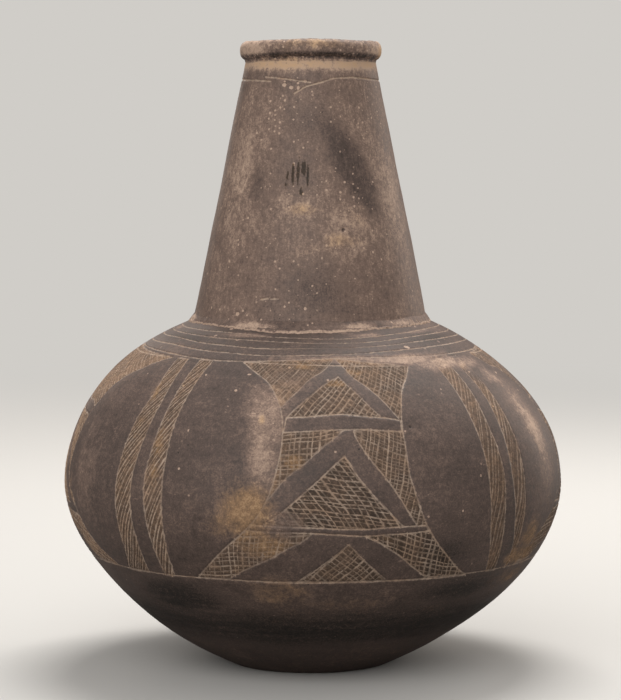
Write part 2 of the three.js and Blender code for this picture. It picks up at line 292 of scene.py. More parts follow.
# The hatched fields of a panel: the lines that close each, the lean and spacing of its two sets of strokes, how hard
# the first set, the second and the outline are cut, and how much lighter or darker the clay is between the strokes.
fieldKeys = ("loop", "leans", "gaps", "force", "second", "border", "ground")
fields = tuple(dict(zip(fieldKeys, row)) for row in (
    (("leftSide:105:92", "firstOuterLeft:back"), (47, -40), (1.35, 1.5), 0.7, 0.5, 0.6, 0.02),
    (("rightSide:105:88", "firstOuterRight:back"), (56, -36), (1.55, 1.8), 0.85, 0.7, 0.7, -0.03),
    (("firstInnerRight", "firstBarTop:17:-6", "firstInnerLeft:back"), (46, -40), (1.8, 1.85), 0.9, 0.5, 0.5, -0.04),
    (("leftSide:85:65", "secondOuterLeft:back", "firstBarFoot:7:-6.8"), (86, 4), (1.95, 1.6), 0.85, 1, 0.5, -0.05),
    (("rightSide:85:56", "secondOuterRight:back", "firstBarFoot:10:21.5"), (76, -19), (1.57, 1.2),
     0.9, 0.7, 0.8, -0.05),
    (("secondInnerRight", "secondBarTop:19.7:-10", "secondInnerLeft:back"), (-53, -8), (1.8, 1.45), 1, 1, 0.8, -0.13),
    (("leftSide:54:38", "thirdOuterLeft:back", "secondBarFoot:-1:-14"), (81, 3), (1.67, 1.7), 0.9, 1, 0.5, 0),
    (("secondBarFoot:11.5:26", "rightSide:53:37", "thirdOuterRight:back"), (91, -17), (1.83, 1.63), 1, 1, 0.9, -0.12),
    (("thirdInnerRight", "thirdInnerLeft:back"), (45, -40), (1.77, 1.63), 0.85, 0.8, 0.7, -0.06),
))
bars = (("firstBarTop", "firstBarFoot:back"), ("secondBarTop", "secondBarFoot:back"))
# The same panel comes round four times; the left one is broader at its top.
turns = (
    {"turn": 0, "stray": 0.0},
    {"turn": -94, "stray": 0.3, "force": 1.3, "ground": 0.14,
     "firstBarTop": ((-6, 89.4), (3, 90), (10, 89.6)), "firstBarFoot": ((-6.8, 85), (3, 85.6), (10, 85.4)),
     "secondBarTop": ((-13.5, 56.8), (0, 56), (12, 55.8)), "secondBarFoot": ((-14, 54.8), (0, 54.2), (12, 54)),
     "firstOuterRight": ((3, 106.2), (5, 102.9), (7, 100.8), (9.5, 98), (12.5, 94), (16, 90), (20, 88)),
     "rightSide": ((43.5, 105), (37, 103), (33.5, 101), (29, 98.5), (24.5, 94), (22, 89),
                   (20, 85), (19, 75), (20, 63), (23, 59), (26, 52.5), (29, 47), (32, 42), (37, 38.2))},
    {"turn": 88, "stray": 0.4},
    {"turn": 178, "stray": 0.5},
)
bands = {
    "heights": (105, 95, 85, 70, 55, 45, 37.6),
    "edges": (
        (-47, -46, -48, -49, -49, -49.5, -52), (-42, -41.5, -42.5, -44, -44, -44, -44.5),
        (-37, -38, -39, -40, -39.5, -39, -39), (-32, -34, -35, -35, -35, -35.5, -36),
        (43.5, 43, 42.5, 42.5, 43, 45, 47), (49.5, 48.5, 47.2, 47.5, 47.5, 49, 50.5),
        (53, 53, 51.5, 50.5, 51.5, 54, 55), (57.5, 56.5, 55.5, 55, 55, 56, 55.8),
    ),
    "leansLeft": (62, 57, 59, 63, 64, 66, 67),  # the strokes' lean at each of the heights
    "leansRight": (54, 55, 66, 77, 77, 78, 77),
    "gapLeft": 1.28, "gapRight": 1.6, "border": 0.7, "ground": 0.03,
    "ripple": (0.1, 0.3),  # slow change of the strokes' gap: its share of the gap, and radians up the wall
    "forceLeft": 1.2, "forceRight": 0.9, "boldLeft": 1.35, "boldRight": 1.0,
}
hand = {
    "spacing": 0.2,  # how unevenly the strokes of a field follow each other, as a share of their gap
    "turning": 0.03,  # and how far each is turned from the last, in radians
    "waver": 0.16, "waverRate": 0.45,  # slow wandering of a stroke in millimetres, and in radians along it
    "bend": 0.0025,  # how much all the strokes of a field curve
    "strokes": 40,  # the most that a field has to either side of its middle
    "far": 9.0,  # beyond this many millimetres nothing is drawn
}
dice = random.Random(1220)


def toSkin(angle, z):
    # Flattened skin of the body: distance round the belly's girth, and distance up the wall.
    return np.radians(angle) * form["bellyRadius"], arcAtHeight(z)


def smoothLine(points, closeness=1.3):
    # A curve through the points, in skin distances.
    xy = np.stack(toSkin(*np.array(points, float).T), 1)
    padded = np.vstack((2 * xy[0] - xy[1], xy, 2 * xy[-1] - xy[-2]))
    made = []
    for a, b, c, d in zip(padded, padded[1:], padded[2:], padded[3:]):
        count = max(2, int(np.hypot(*(c - b)) / closeness))
        t = np.linspace(0, 1, count, endpoint=False)[:, None]
        made.append(0.5 * (2 * b + (c - a) * t + (2 * a - 5 * b + 4 * c - d) * t**2 + (3 * b - a - 3 * c + d) * t**3))
    return np.vstack((*made, xy[-1:]))


def pickLine(lines, name):
    # "line:from:to" takes the stretch between two heights, or two angles on a bar, and ":back" turns the line round.
    key, *span = name.split(":")
    xy = lines[key]
    if span == ["back"]:
        return xy[::-1]
    if span:
        start, stop = (float(v) for v in span)
        value = np.interp(xy[:, 1], bodyWall["arc"], bodyWall["z"])
        if "Bar" in key:
            value = np.degrees(xy[:, 0] / form["bellyRadius"])
        kept = (value >= min(start, stop) - 0.6) & (value <= max(start, stop) + 0.6)
        xy = xy[kept] if (start < stop) == (value[0] < value[-1]) else xy[kept][::-1]
    return xy


def panelShapes():
    # Outlines of the hatched fields, of the bars and of whole panels.
    hatched, plain, whole = [], [], []
    for turn in turns:
        lines = {}
        shift = np.array((math.radians(turn["turn"]) * form["bellyRadius"], 0.0))
        for name, points in panel.items():
            stray = turn["stray"]
            strayed = [(a + dice.gauss(0, stray), z + dice.gauss(0, stray)) for a, z in turn.get(name, points)]
            lines[name] = smoothLine(strayed) + shift
        turned = {key: xy - shift for key, xy in lines.items()}
        for field in fields:
            outline = np.vstack([pickLine(turned, name) for name in field["loop"]]) + shift
            force = field["force"] * turn.get("force", 1)
            hatched.append(dict(field, outline=outline, force=force, ground=turn.get("ground", field["ground"])))
        for bar in bars:
            plain.append(np.vstack([pickLine(turned, name) for name in bar]) + shift)
        whole.append(np.vstack((lines["leftSide"], lines["rightSide"][::-1])))
    return hatched, plain, whole


def bandShapes():
    hatched = []
    for quarter in (0, 180):
        for left, right in zip(bands["edges"][::2], bands["edges"][1::2]):
            sides = [smoothLine([(a + quarter, z) for a, z in zip(edge, bands["heights"])]) for edge in (left, right)]
            side = "Left" if left[0] < 0 else "Right"
            band = {key: bands[key + side] for key in ("leans", "gap", "force", "bold")}
            band.update(outline=np.vstack((sides[0], sides[1][::-1])), sides=sides, second=0,
                        border=bands["border"], ground=bands["ground"])
            hatched.append(band)
    return hatched


def insideOutline(x, y, outline):
    # Even-odd test of many points against one closed outline.
    inside = np.zeros(len(x), bool)
    for (ax, ay), (bx, by) in zip(outline, np.roll(outline, -1, axis=0)):
        if ay != by:
            inside ^= ((ay > y) != (by > y)) & (x < (bx - ax) * (y - ay) / (by - ay) + ax)
    return inside


def depthInside(x, y, outline):
    # Distance to the outline, negative outside it.
    nearest = np.full(len(x), hand["far"] ** 2)
    for a, b in zip(outline, np.roll(outline, -1, axis=0)):
        d = b - a
        length = max(d @ d, 1e-9)
        t = np.clip(((x - a[0]) * d[0] + (y - a[1]) * d[1]) / length, 0, 1)
        nearest = np.minimum(nearest, (x - a[0] - t * d[0]) ** 2 + (y - a[1] - t * d[1]) ** 2)
    return np.sqrt(nearest) * np.where(insideOutline(x, y, outline), 1, -1)


def strayTable(scale):
    # How far each of a field's strokes strays.
    numbers = np.arange(-hand["strokes"], hand["strokes"] + 1)
    values = [dice.gauss(0, scale) for _ in numbers]
    return lambda index: np.interp(index, numbers, values)


def countStrokes(shape):
    # Functions that number the strokes across a field: each stroke runs where its number is whole.
    if "sides" in shape:
        left, right = shape["sides"]
        top, foot = arcAtHeight(bands["heights"][0]), arcAtHeight(bands["heights"][-1])
        y = np.linspace(foot, top, 60)
        middle = (np.interp(y, left[::-1, 1], left[::-1, 0]) + np.interp(y, right[::-1, 1], right[::-1, 0])) / 2
        lean = np.radians(np.interp(y, arcAtHeight(np.array(bands["heights"][::-1])), shape["leans"][::-1]))
        climb = np.cumsum(np.cos(lean)) * (y[1] - y[0]) / shape["gap"]
        stray = strayTable(hand["spacing"])
        size, rate = bands["ripple"]

        def number(px, py):
            across = px - np.interp(py, y, middle)
            index = np.interp(py, y, climb) - across * np.sin(np.interp(py, y, lean)) / shape["gap"]
            return index + stray(index - hand["strokes"] / 2) + size * np.sin(py * rate)

        return (number,)
    return tuple(countParallel(shape["outline"].mean(0), lean, gap) for lean, gap in zip(shape["leans"], shape["gaps"]))


def countParallel(middle, lean, gap):
    # Straight strokes that lean alike.
    c, s = math.cos(math.radians(lean)), math.sin(math.radians(lean))
    spacing, turning = strayTable(hand["spacing"]), strayTable(hand["turning"])
    phase, bend = dice.uniform(0, 6), dice.gauss(0, hand["bend"])

    def number(px, py):
        x, y = px - middle[0], py - middle[1]
        along, across = x * c + y * s, y * c - x * s
        across = across + hand["waver"] * np.sin(along * hand["waverRate"] + phase) + bend * along**2
        index = across / gap
        return index + spacing(index) + turning(index) * along / gap

    return number


hatchedShapes, barShapes, wholePanels = panelShapes()
hatchedShapes += bandShapes()
for shape in hatchedShapes:
    shape["count"] = countStrokes(shape)
ringPhases = [[dice.uniform(0, 6.3) for _ in range(4)] for _ in range(6)]
girth = math.tau * form["bellyRadius"]
print("hatched fields", len(hatchedShapes))


def nearShape(x, y, outline, margin=3.0):
    # The points close to an outline, and how far they are moved round the bottle to meet it.
    for turn in (-girth, 0, girth):
        low, high = outline.min(0) - margin, outline.max(0) + margin
        close = np.nonzero((x + turn > low[0]) & (x + turn < high[0]) & (y > low[1]) & (y < high[1]))[0]
        if len(close):
            yield close, x[close] + turn, y[close]


def markWall(angle, z):
    # What the engraver's lines measure at each point of the wall.
    x, y = toSkin(angle, z)
    edge, bar, side = (np.full(len(z), -hand["far"]) for _ in range(3))
    first, second, bold = np.full(len(z), 0.5), np.full(len(z), 0.5), np.ones(len(z))
    forces, border, ground = np.zeros((2, len(z))), np.zeros(len(z)), np.zeros(len(z))
    for order, shape in enumerate(hatchedShapes):
        for close, px, py in nearShape(x, y, shape["outline"]):
            depth = depthInside(px, py, shape["outline"])
            better = depth > edge[close]
            chosen = close[better]
            edge[chosen], bold[chosen] = depth[better], shape.get("bold", 1)
            forces[0, chosen], forces[1, chosen] = shape["force"], shape["force"] * shape["second"]
            border[chosen], ground[chosen] = shape["border"], shape["ground"]
            numbers = [number(px[better], py[better]) for number in shape["count"]]
            first[chosen] = numbers[0] + 100 * order
            second[chosen] = numbers[1] + 100 * order + 37 if len(numbers) > 1 else 0.5
    for values, outlines in ((bar, barShapes), (side, wholePanels)):
        for outline in outlines:
            for close, px, py in nearShape(x, y, outline):
                values[close] = np.maximum(values[close], depthInside(px, py, outline))
    return {"edge": edge, "bar": bar, "side": side, "strokeOne": first, "strokeTwo": second,
            "forceOne": forces[0], "forceTwo": forces[1], "bold": bold, "border": border, "ground": ground,
            "ring": numberRings(angle, y), "mark": nearMark(angle, z)}


def levelAt(angle, points):
    # A height that goes smoothly round the bottle through a few points.
    a, z = np.array(points, float).T
    a, z = np.concatenate((a - 360, a, a + 360)), np.tile(z, 3)
    return np.mean([np.interp(angle + shift, a, z) for shift in np.linspace(-9, 9, 7)], axis=0)


def numberRings(angle, arc):
    # Whole numbers on the rings, and halves far from them.
    number = np.full(len(arc), -0.5)
    levels = []
    for points, phases in zip((((-180, rings["foot"]),), *rings["shoulder"]), ringPhases):
        stray = sum(0.7**i * np.sin((3 * i + 4) * np.radians(angle) + phase) for i, phase in enumerate(phases))
        levels.append(arcAtHeight(levelAt(angle, points)) + rings["wander"] * stray)
    reach = rings["reach"]
    number += np.clip((arc - levels[0]) / reach + 1, 0, 2) / 2
    number += np.clip((arc - levels[1]) / reach + 1, 0, 1) / 2
    for lower, upper in zip(levels[1:], levels[2:]):
        number += np.clip((arc - lower) / np.maximum(upper - lower, 0.5), 0, 1)
    return number + np.clip((arc - levels[-1]) / reach, 0, 1) / 2


# Scribed marks away from the pattern: angle and height of each point.
marks = (
    ((-84, 193.9), (-76, 193.7), (-50, 193.5), (-35, 193.2)),
    ((-40, 194.6), (-25, 194.2), (-7, 193.2), (0, 192.9)),
    ((-13, 189.2), (-4, 191.5), (8.6, 192.9), (19.5, 194.2), (37, 194.5), (70, 193.6), (120, 193.2), (180, 193.4)),
    ((-180, 193.4), (-140, 193.1), (-100, 193.5), (-72, 193.9)),
    ((-26, 123.2), (-21.5, 123.6)),
    ((-20.3, 123.5), (-16.5, 123.6)),
)


def nearMark(angle, z):
    # Distance to the nearest of the marks.
    nearest = np.full(len(z), hand["far"])
    for mark in marks:
        a, height = np.array(mark, float).T
        close = np.nonzero((z > height.min() - 3) & (z < height.max() + 3))[0]
        if not len(close):
            continue
        r = float(np.interp(height.mean(), neckWall["z"], neckWall["r"]))
        path = np.linspace(a[0], a[-1], 60)
        level = np.interp(path, a, height)
        for (a0, z0), (a1, z1) in zip(zip(path, level), zip(path[1:], level[1:])):
            px, py = np.radians(angle[close] - a0) * r, z[close] - z0
            dx, dy = math.radians(a1 - a0) * r, z1 - z0
            t = np.clip((px * dx + py * dy) / (dx * dx + dy * dy), 0, 1)
            nearest[close] = np.minimum(nearest[close], np.hypot(px - t * dx, py - t * dy))
    return nearest


# angle, height, half width and half height in millimetres, strength, and the lean in degrees where there is one
stains = {
    "bloom": (  # partly worn pale, partly painted highlight (the strip at 66 to 67 degrees, the left edge of the belly, the band along the shoulder's top and both sides of the neck), with a smooth edge
        (-14, 59.5, 6, 6, 0.3), (-11.5, 78, 5, 13, 0.2), (66, 98, 6, 6, 0.45), (67, 90, 7, 8, 0.7),
        (67, 80, 7, 10, 0.8), (67.5, 68, 6, 9, 0.7), (-84, 66, 9, 24, 1.1), (-64, 68, 14, 20, 0.3),
        (-68, 44, 7, 7, 0.4), (-75, 96, 12, 6, 0.25), (66, 59, 6, 6, 0.4), (32, 105.3, 14, 2.2, 0.35),
        (48, 103.6, 12, 2.6, 0.35), (-52, 160, 11, 30, 0.35), (45, 160, 4, 15, 0.5, 24), (56, 150, 8, 20, 0.4, 8),
        (26, 146, 12, 8, 0.35), (-6, 150, 14, 8, 0.25), (40, 178, 7, 6, 0.3, -35), (0, 198.4, 400, 2.2, 0.35),
    ),
    "chip": (  # small bright chips
        (38, 108.6, 0.9, 0.55, 1.8, -30), (-2.5, 120.6, 0.5, 0.5, 1.3), (-37, 97.5, 0.55, 0.4, 1.2),
        (-17.5, 101.5, 0.7, 0.5, 1), (-30.5, 84.5, 0.4, 0.5, 1.1), (-31, 73, 0.5, 0.4, 1.1), (5, 79.3, 0.5, 0.5, 1),
        (34.5, 59.5, 0.4, 0.4, 1.1), (-38, 118.3, 0.8, 0.6, 1.2), (-21.6, 192, 0.75, 0.6, 1.2),
        (-15.6, 191.2, 0.7, 0.6, 1.2), (-9.9, 191.1, 0.5, 0.7, 1.2), (-4.4, 193.2, 0.6, 0.5, 1.1),
    ),
    "grit": (  # grains of temper lying bare
        (-16, 188.5, 9, 6, 1.2), (-30, 181, 6, 7, 1), (7, 186, 8, 5, 0.8), (42, 183, 7, 6, 0.7), (29, 159, 5, 7, 0.9),
        (0, 204, 300, 5, 0.7), (0, 140, 300, 60, 0.2),
    ),
    "ochre": (  # iron stains, and brown showing through
        (-12, 88.5, 1.5, 2.5, 0.7), (-14.5, 61, 9, 10, 1), (-20, 57, 8, 8, 0.6), (-10, 50, 9, 6, 0.7),
        (-9, 34, 13, 9, 0.65), (-24, 56, 16, 16, 0.4), (-1, 104, 3.5, 2, 0.8), (7.5, 99, 3.5, 1.7, 0.9),
        (13, 102.3, 3.5, 1.6, 0.7), (-4, 76, 3, 2.5, 0.9), (16.5, 51.5, 2, 2, 0.6), (-45.5, 95, 2.4, 5, 0.62, 10),
        (-38, 80, 2.6, 7, 0.62, 5), (-37.5, 71, 2.4, 5, 0.55), (-46, 84, 2, 6, 0.5), (61, 48, 8, 7, 0.8),
        (60, 41, 12, 5, 0.8), (62, 34, 14, 5, 0.65), (10, 30, 22, 7, 0.5), (23, 31, 8, 5, 0.45), (-4, 26, 14, 8, 0.45),
        (36, 26, 13, 4, 0.45), (-50, 24, 14, 6, 0.35), (-73, 62, 5, 10, 0.45), (18, 142, 9, 3.5, 0.6),
        (32, 150, 9, 8, 0.4), (-4, 152, 7, 3, 0.6), (2, 141, 14, 8, 0.35), (0, 198.7, 400, 2.6, 0.62),
        # the patch at 80 degrees and 203 mm is painted highlight on the rim's right end
        (80, 203, 7, 4, 0.8), (0, 205.5, 14, 3, 0.6),
    ),
    "pale": (  # partly worn and dusty, partly painted highlight (the strip at 65 to 67 degrees, the band along the shoulder's top, both sides of the neck and both ends of the rim), with a mottled edge
        (-11, 90, 7.5, 15, 1), (-11, 77, 7, 10, 0.9), (-8, 99, 8, 5, 0.6), (-6, 57, 8, 4, 0.7), (-6, 106, 18, 2, 0.65),
        (14, 106, 22, 2, 1), (31, 105.2, 18, 2.6, 1.2), (46, 103.6, 12, 3, 1.1), (56, 102.6, 9, 3, 1),
        (65, 98, 6, 5, 0.7), (67, 82, 6, 14, 0.7), (-64, 66, 11, 22, 0.5), (30, 143, 10, 8, 0.35),
        (-10, 152, 18, 9, 0.35), (-50, 160, 10, 28, 0.45), (-20, 187, 14, 8, 0.35), (63, 160, 8, 20, 0.45, 8),
        (-46, 160, 0.4, 6, 0.8, -22), (-56, 150, 0.5, 4, 0.8, -30), (0, 198.7, 400, 2.6, 0.75),
        (-27, 114.6, 7, 1.5, 1.2), (24, 114.8, 5, 1.3, 1.1), (-80, 115.3, 5, 1.5, 1), (52, 115, 9, 1.2, 0.7),
        (-66, 204, 10, 5, 1.2), (75, 204, 8, 4, 0.9),
    ),
    "pit": (  # small hollows
        (24, 86, 0.5, 0.6, 0.85), (13.5, 52, 1.1, 0.8, 0.9), (19, 145.5, 0.9, 0.8, 0.9),
    ),
    "smoke": (  # fire clouds, with a smooth edge
        (-58, 110.5, 20, 4.5, 0.52), (58, 110.5, 18, 4.5, 0.52), (17, 87, 15, 3, 0.4), (30, 164.5, 5.4, 14.5, 1, 28),
        (20, 173, 5, 8, 0.5, 20), (-36, 161, 4, 9, 0.5), (4, 127, 22, 15, 0.34),
    ),
    "soot": (  # fire clouds, with a mottled edge; the wide band low on the belly and the thin ring along the rim's underside are painted shade
        (32, 57, 9, 9, 0.35), (-26, 50, 9, 9, 0.35), (0, 20, 400, 13, 0.62), (-38, 30, 20, 9, 0.7),
        (40, 33, 20, 7, 0.62), (33, 46, 14, 9, 0.5), (2, 126, 15, 13, 0.42), (5, 122, 30, 5, 0.3),
        (2, 180, 12, 9, 0.45), (0, 201.4, 400, 1.3, 0.9), (-35, 203, 8, 3, 0.4),
    ),
    "tar": (  # black drips on the neck
        (-15, 162, 0.7, 4.5, 0.9), (-11.5, 163.5, 0.6, 4, 1.1), (-8, 163.5, 0.6, 4.5, 1.1), (-4.5, 164.8, 0.9, 3, 1.2),
        (-1.8, 162.5, 0.5, 5, 1), (-5.6, 157.6, 0.7, 1.4, 1.1),
    ),
    "wear": (  # where use has rubbed the cuts away
        (-9, 56.5, 9, 5, 1), (-12, 62, 7, 8, 0.7), (-8, 88, 3, 10, 0.3), (-12, 46, 6, 7, 0.35), (-6, 101, 9, 5, 0.4),
        (38, 105, 16, 3, 0.9), (48, 104, 12, 3.2, 1.1), (62, 100, 9, 5, 1), (67, 85, 6, 16, 0.8), (62, 45, 8, 12, 0.5),
        (10, 109, 14, 1.2, 0.8),
    ),
}


stainFade = 0.7  # leaves half of a stain's strength at its half width
neckLead = 40  # on the neck, the way up the wall is taken to be this much longer than the height


def paintStains(angle, z, kind):
    # The strength of one kind of stain at each point.
    total = np.zeros_like(z)
    onNeck = z > form["shoulderHeight"]
    r = np.where(onNeck, *(np.interp(z, wall["z"], wall["r"]) for wall in (neckWall, bodyWall)))
    arc = np.where(onNeck, z + neckLead, arcAtHeight(z))
    for a0, z0, halfWidth, halfHeight, strength, *tilt in stains[kind]:
        arc0 = z0 + neckLead if z0 > form["shoulderHeight"] else arcAtHeight(z0)
        x = ((angle - a0 + 180) % 360 - 180) * math.pi / 180 * r
        y = arc - arc0
        turned = math.radians(sum(tilt))
        c, s = math.cos(turned), math.sin(turned)
        across, along = x * c + y * s, -x * s + y * c
        spread = (across / halfWidth) ** 2 + (along / halfHeight) ** 2
        total = np.maximum(total, strength * np.exp(-stainFade * spread))
    return total


cutLook = {
    "outline": 0.25, "hatch": 0.25, "ringWidth": 0.2, "markWidth": 0.28,  # half widths in millimetres
    "soft": 0.17,  # width over which a cut's edge fades
    "ragged": 0.34,  # how uneven its edges are
    "overrun": 0.9,  # how far a stroke may pass its field's edge or stop short of it
    "ringGap": 3.6, "strokeGap": 1.9,  # millimetres between whole numbers, as the cuts' widths are reckoned
    "sideForce": 0.85, "barForce": 0.9, "ringForce": 0.85,
}


def drawCuts(node, read, roughness):
    # How hard the tool has bitten, from 0 to 1. The same sums serve the carving and the colour.
    look = cutLook
    ragged = roughness * (look["ragged"] * 2)

    def line(distance, halfWidth):
        return (distance + ragged).rise(halfWidth + look["soft"], halfWidth - look["soft"])

    edge = read("edge")
    drawn = line(edge.maths("ABSOLUTE"), look["outline"]) * read("border")
    drawn = drawn.most(line(read("side").maths("ABSOLUTE"), look["outline"]) * look["sideForce"])
    drawn = drawn.most(line(read("bar").maths("ABSOLUTE"), look["outline"]) * look["barForce"])
    drawn = drawn.most(line(read("mark"), look["markWidth"]))
    number = read("ring")
    ringAway = (number - number.maths("ROUND")).maths("ABSOLUTE") * look["ringGap"]
    drawn = drawn.most(line(ringAway, look["ringWidth"]) * look["ringForce"])
    for name in ("One", "Two"):
        number = read("stroke" + name)
        whole = number.maths("ROUND")
        luck, other = (node("ShaderNodeTexWhiteNoise", {"noise_dimensions": "1D"}, {"W": seed}).out("Value")
                       for seed in (whole * 1.37 + 0.5, whole * 2.11 + 7.5))
        away = (number - whole).maths("ABSOLUTE") * look["strokeGap"]
        inside = (edge + (luck - 0.35) * look["overrun"]).rise(-0.15, 0.15)
        stroke = line(away, (other * 0.6 + 0.7) * look["hatch"] * read("bold"))
        drawn = drawn.most(stroke * inside * read("force" + name) * (luck * 0.55 + 0.5))
    return drawn.least(1.0)


def makeClay(name, look):
    material, tree = newMaterial(name)

    def node(kind, settings=None, values=None):
        return addNode(tree, kind, settings, values)

    def read(label):
        return node("ShaderNodeAttribute", {"attribute_name": label}).out("Fac")

    place = node("ShaderNodeTexCoord").out("Object")

    def moved(size, stretch=(1, 1, 1), seed=0.0):
        # size is the width of one blotch in millimetres
        values = {"Location": (seed, seed * 1.7, -seed), "Scale": tuple(s / (size * mm) for s in stretch)}
        return node("ShaderNodeMapping", None, {"Vector": place, **values}).first()

    def noise(size, detail=3, rough=0.55, stretch=(1, 1, 1), seed=0.0, twist=0.0):
        values = {"Vector": moved(size, stretch, seed), "Detail": detail, "Roughness": rough, "Distortion": twist}
        return node("ShaderNodeTexNoise", None, {"Scale": 1.0, **values}).first() - 0.5

    def cells(size, seed=0.0):
        values = {"Vector": moved(size, seed=seed), "Scale": 1.0, "Randomness": 1.0}
        made = node("ShaderNodeTexVoronoi", {"feature": "F1"}, values)
        return made.out("Distance"), node("ShaderNodeSeparateColor", None, {"Color": made.out("Color")})

    def ramp(value, stops):
        return node("ShaderNodeValToRGB", {"stops": stops}, {"Fac": value}).out("Color")

    # Noise of five sizes, each from -0.5 to 0.5.
    broad = noise(30, 2, 0.5, seed=3.1)
    mottle = noise(7, 5, 0.65, seed=7.7, twist=0.5)
    grain = noise(1.5, 4, 0.72, seed=1.3)
    fine = noise(0.5, 2, 0.6, seed=5.9)
    streak = noise(look["streakWidth"], 3, 0.6, stretch=look["streakStretch"], seed=2.2)
    outer, inner = read("outer"), read("inner")

    unevenness = mottle * 1.1 + grain * 0.8

    def stain(kind, ragged, low, high):
        return (read(kind) + unevenness * ragged).rise(low, high)

    # worn and dusty clay, and in places painted highlight
    pale = stain("pale", 0.5, 0.2, 1.05) * outer
    ochre = stain("ochre", 0.55, 0.25, 1.0) * outer
    # fire clouds, and painted shade low on the belly and under the rim
    soot = stain("soot", 0.45, 0.25, 0.8) * outer
    smoke = stain("smoke", 0.08, 0.2, 0.75) * outer
    rubbed = stain("wear", 0.5, 0.15, 0.8)
    # worn pale clay and painted highlight, with a smooth edge
    bloom = read("bloom") * outer * (grain * 0.6 + 1)
    tar = (read("tar") + streak * 1.8 + grain * 1.6).rise(0.5, 0.9) * read("tar").rise(0.05, 0.3) * outer
    chip = (read("chip") + fine * 0.5).rise(0.5, 0.75) * outer
    hole = read("pit").rise(0.45, 0.8) * outer
    grit = read("grit")
    carved = read("edge").rise(-0.1, 0.4) * outer * (1 - rubbed * 0.8)

    tone = broad * look["broad"] + mottle * look["mottle"] + grain * look["grain"] + fine * look["fine"]
    tone = tone + streak * look["streaks"] + look["tone"]
    tone = tone + pale * look["paleLift"] + ochre * look["ochreLift"] + bloom * look["wornAndSheenLift"]
    tone = tone - soot * look["sootAndShadeDrop"] - smoke * look["smokeDrop"]
    tone = tone + soot * (grain * 0.7 + fine * 0.5 + streak * 0.4) + carved * (read("ground") + grain * 0.25)

    # temper grains, thicker where the surface is worn, small pits, and fine scratches left by use
    away, luck = cells(look["grainGap"])
    size = (luck.out("Red") + grit * 0.5).rise(look["grainRarity"], 1.12) * look["grainSize"]
    speck = (size - away + fine * 0.06).rise(0.0, 0.07) * outer * (luck.out("Green") * 0.7 + 0.3)
    away, luck = cells(look["grainGap"] * 1.3, 4.4)
    pit = ((luck.out("Red") + grit * 0.25).rise(0.8, 1.1) * 0.16 - away).rise(0.0, 0.05) * outer
    scrape = noise(look["scrapeWidth"], 3, 0.5, stretch=look["scrapeStretch"], seed=9.1, twist=1.2)
    scrape = (scrape + mottle * 0.3).rise(0.16, 0.26) * outer
    tone = tone + speck * look["speckLift"] - pit * 0.3 + scrape * look["scrapes"] - tar * 0.5 - hole * 0.3 + chip * 0.5

    warmth = ochre + tar + carved * look["carvedWarmth"] + noise(12, 4, 0.6, seed=6.6) * look["warmSpots"]
    cool, warm = ramp(tone, look["coolStops"]), ramp(tone, look["warmStops"])
    base = mixColors(tree, warmth.rise(0.0, 1.0), cool, warm)

    cuts = drawCuts(node, read, noise(0.9, 2, 0.6, seed=8.3)) * outer
    dust = (noise(2.8, 3, 0.6, seed=11.5) + grain * 1.1).rise(-0.28, 0.12) * 0.62 + 0.38
    filling = cuts * dust * ((1 - ochre * 0.25) * (1 - pale * 0.2) * (1 - rubbed * 0.85))
    fill = mixColors(tree, mottle.rise(-0.1, 0.12), paint(look["fill"]), paint(look["fillWarm"]))
    base = mixColors(tree, filling * 0.9, base, fill)
    patchy = (mottle + grain * 0.5).rise(-0.2, 0.2)
    base = mixColors(tree, inner, base, mixColors(tree, patchy, paint(look["inside"]), paint(look["insideDark"])))

    matt = pale * 0.12 + ochre * 0.2 + carved * 0.2 + mottle * 0.3 + grain * 0.25 + look["gloss"]
    matt = matt.most(filling * 0.85).most(inner * 0.9)
    relief = grain * look["grainRelief"] + streak * look["streakRelief"] + fine * (carved * 0.4 + 0.15 + ochre * 0.4)
    relief = relief + speck * 0.5 - pit * 0.8 + mottle * 0.6 - cuts * 0.7
    bump = node("ShaderNodeBump", None, {"Strength": 0.7, "Distance": look["relief"] * mm, "Height": relief}).first()
    shader = node("ShaderNodeBsdfPrincipled", None, {"Base Color": base, "Roughness": matt, "Normal": bump})
    shader.node.inputs["Specular IOR Level"].default_value = look["shine"]
    node("ShaderNodeOutputMaterial", None, {"Surface": shader.first()})
    return material


bodyLook = {
    "tone": 0.47, "broad": 0.22, "mottle": 0.34, "grain": 0.46, "fine": 0.44,  # how much each size of blotch tells
    "streaks": 0.12, "streakWidth": 1.4, "streakStretch": (0.06, 0.06, 1),  # burnished round the body
    "paleLift": 0.3, "wornAndSheenLift": 0.3, "ochreLift": 0.22, "sootAndShadeDrop": 0.34, "smokeDrop": 0.24,
    "carvedWarmth": 0.5, "warmSpots": 0.4,
    "coolStops": ((0, (33, 30, 27)), (0.25, (60, 51, 46)), (0.5, (96, 80, 73)), (0.72, (132, 110, 98)),
                  (1, (193, 165, 145))),
    "warmStops": ((0, (39, 29, 21)), (0.25, (68, 52, 39)), (0.5, (109, 86, 66)), (0.72, (150, 119, 90)),
                  (1, (204, 168, 130))),
    "grainGap": 2.4, "grainRarity": 0.8, "grainSize": 0.3, "speckLift": 0.46,
    "scrapes": 0.2, "scrapeWidth": 1.1, "scrapeStretch": (0.5, 0.5, 1.4),
    "fill": (192, 169, 150), "fillWarm": (180, 152, 129),
    "inside": (88, 74, 66), "insideDark": (56, 46, 41),
    "gloss": 0.6, "shine": 0.36, "relief": 0.1, "grainRelief": 0.5, "streakRelief": 0.4,
}
neckLook = dict(bodyLook, gloss=0.57, shine=0.32, tone=0.66, mottle=0.36, grain=0.5, fine=0.4,
                streaks=0.26, streakStretch=(1, 1, 0.04), streakWidth=0.8, scrapes=0.06, scrapeStretch=(1, 1, 0.3),
                grainGap=1.5, grainSize=0.3, grainRarity=0.75, speckLift=0.58)
